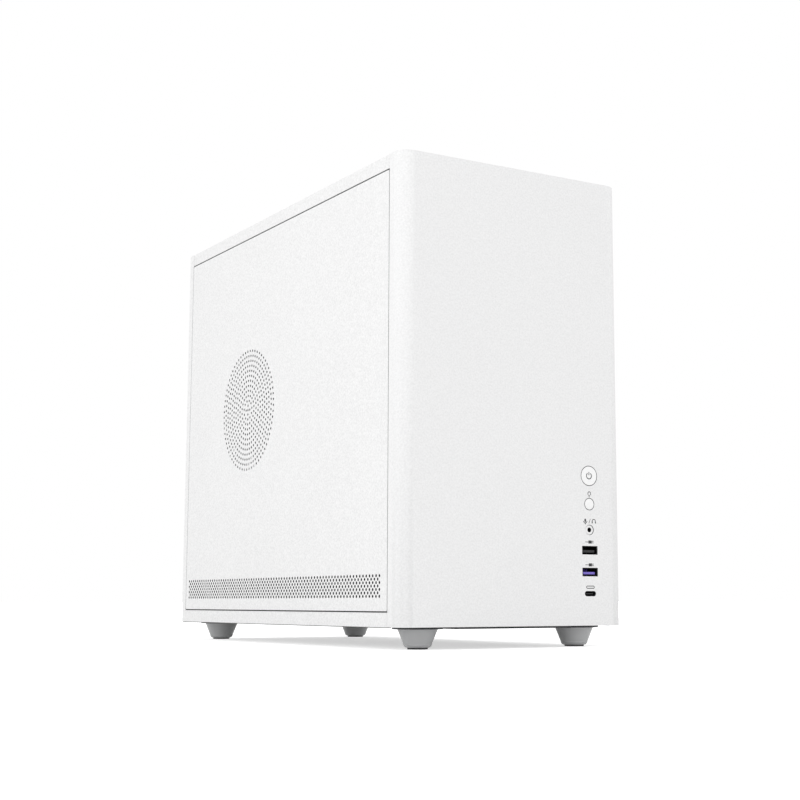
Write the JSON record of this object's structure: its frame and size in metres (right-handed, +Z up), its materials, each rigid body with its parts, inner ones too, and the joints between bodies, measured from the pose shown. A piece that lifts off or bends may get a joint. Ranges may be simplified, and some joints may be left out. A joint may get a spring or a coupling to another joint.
{
  "type": "desktop computer tower",
  "caption": "Compact white upright computer case with a plain rounded front, perforated steel side panel, front buttons and ports, tapered feet and full working internals.",
  "frame": {"origin": "middle of the bounding box on the plane that the feet stand on", "axes": "+Z up, -Y towards the front face with the buttons and ports, +X to the right seen from the front"},
  "size_m": [0.196, 0.4, 0.3556],
  "materials": {
    "white_steel": "fine powder coat",
    "white_plastic": "fine texture",
    "dark_plastic": "moulded",
    "grey_plastic": "satin",
    "black_rubber": "matt",
    "black_plastic": "moulded",
    "blue_plastic": "moulded",
    "black_metal": "satin black",
    "bright_steel": "plated",
    "aluminium": "as extruded",
    "brass": "machined",
    "circuit_board": "solder mask"
  },
  "bodies": {
    "chassis": {"base_pan": "white_steel", "top_cover": "white_steel", "rear_panel": "white_steel", "front_frame": "white_steel", "board_tray": "white_steel", "panel_clips": "dark_plastic", "feet": "grey_plastic", "foot_washers": "black_plastic", "foot_pads": "black_rubber", "slot_covers": "white_steel", "machine_screws": "bright_steel", "io_shield": "bright_steel", "port_bracket": "dark_plastic", "port_board": "circuit_board", "push_switches": "black_plastic", "audio_jack": "white_plastic", "usb_shells": "black_metal", "black_tongues": "black_plastic", "blue_tongue": "blue_plastic", "psu_case": "black_metal", "psu_fan_grille": "bright_steel", "psu_fan_frame": "dark_plastic", "mains_inlet": "black_plastic", "inlet_blades": "brass", "psu_circuit": "circuit_board", "front_fan_frame": "dark_plastic", "rear_fan_frame": "dark_plastic", "cooler_heat_sink": "aluminium", "cooler_fan_frame": "dark_plastic", "motherboard": "circuit_board", "board_standoffs": "brass", "processor_socket": "bright_steel", "processor": "bright_steel", "memory_slots": "black_plastic", "memory_modules": "circuit_board", "expansion_slots": "black_plastic", "board_heat_sinks": "aluminium", "board_components": "dark_plastic", "rear_ports": "bright_steel", "drive_cage": "white_steel", "hard_drive": "aluminium", "solid_state_stick": "circuit_board", "cables": "black_plastic"},
    "left_panel": {"left_side_panel": "white_steel", "left_panel_studs": "bright_steel"},
    "right_panel": {"right_side_panel": "white_steel", "right_panel_studs": "bright_steel"},
    "front_cover": {"front_panel": "white_plastic"},
    "power_push": {"power_button": "white_plastic"},
    "light_push": {"light_button": "white_plastic"},
    "filter_tray": {"dust_filter": "black_plastic"},
    "psu_rotor": {"psu_fan_rotor": "dark_plastic"},
    "front_rotor": {"front_fan_rotor": "dark_plastic"},
    "rear_rotor": {"rear_fan_rotor": "dark_plastic"},
    "cooler_rotor": {"cooler_fan_rotor": "dark_plastic"},
    "rocker": {"power_rocker": "black_plastic"},
    "latch_near": {"memory_latch_near": "bright_steel"},
    "latch_far": {"memory_latch_far": "bright_steel"}
  },
  "joints": [
    {"name": "left_panel_pull", "type": "slide", "parent": "chassis", "child": "left_panel", "axis": [-1, 0, 0], "range_m": [0, 0.09]},
    {"name": "right_panel_pull", "type": "slide", "parent": "chassis", "child": "right_panel", "axis": [1, 0, 0], "range_m": [0, 0.09]},
    {"name": "front_cover_pull", "type": "slide", "parent": "chassis", "child": "front_cover", "axis": [0, -1, 0], "range_m": [0, 0.07]},
    {"name": "dust_filter_slide", "type": "slide", "parent": "chassis", "child": "filter_tray", "axis": [0, -1, 0], "range_m": [0, 0.235]},
    {"name": "power_button_press", "type": "slide", "parent": "front_cover", "child": "power_push", "axis": [0, 1, 0], "range_m": [0, 0.0013], "stiffness_N_per_m": 900, "springref_m": -0.0006},
    {"name": "light_button_press", "type": "slide", "parent": "front_cover", "child": "light_push", "axis": [0, 1, 0], "range_m": [0, 0.0013], "stiffness_N_per_m": 700, "springref_m": -0.0006},
    {"name": "power_rocker_tilt", "type": "hinge", "parent": "chassis", "child": "rocker", "pos_m": [0.017, 0.1945, 0.3346], "axis": [1, 0, 0], "range_deg": [-16, 0]},
    {"name": "front_fan_spin", "type": "hinge", "parent": "chassis", "child": "front_rotor", "pos_m": [-0.004, -0.1715, 0.1756], "axis": [0, 1, 0], "continuous": true},
    {"name": "rear_fan_spin", "type": "hinge", "parent": "chassis", "child": "rear_rotor", "pos_m": [-0.0291, 0.187, 0.18823], "axis": [0, 1, 0], "continuous": true},
    {"name": "cooler_fan_spin", "type": "hinge", "parent": "chassis", "child": "cooler_rotor", "pos_m": [0.0159, 0.1105, 0.1936], "axis": [-1, 0, 0], "continuous": true},
    {"name": "psu_fan_spin", "type": "hinge", "parent": "chassis", "child": "psu_rotor", "pos_m": [-0.003, 0.123, 0.2786], "axis": [0, 0, 1], "continuous": true},
    {"name": "memory_latch_near_open", "type": "hinge", "parent": "chassis", "child": "latch_near", "pos_m": [0.0687, 0.0545, 0.2564], "axis": [0, 1, 0], "range_deg": [0, 35]},
    {"name": "memory_latch_far_open", "type": "hinge", "parent": "chassis", "child": "latch_far", "pos_m": [0.0687, 0.0445, 0.2564], "axis": [0, 1, 0], "range_deg": [0, 35]}
  ]
}
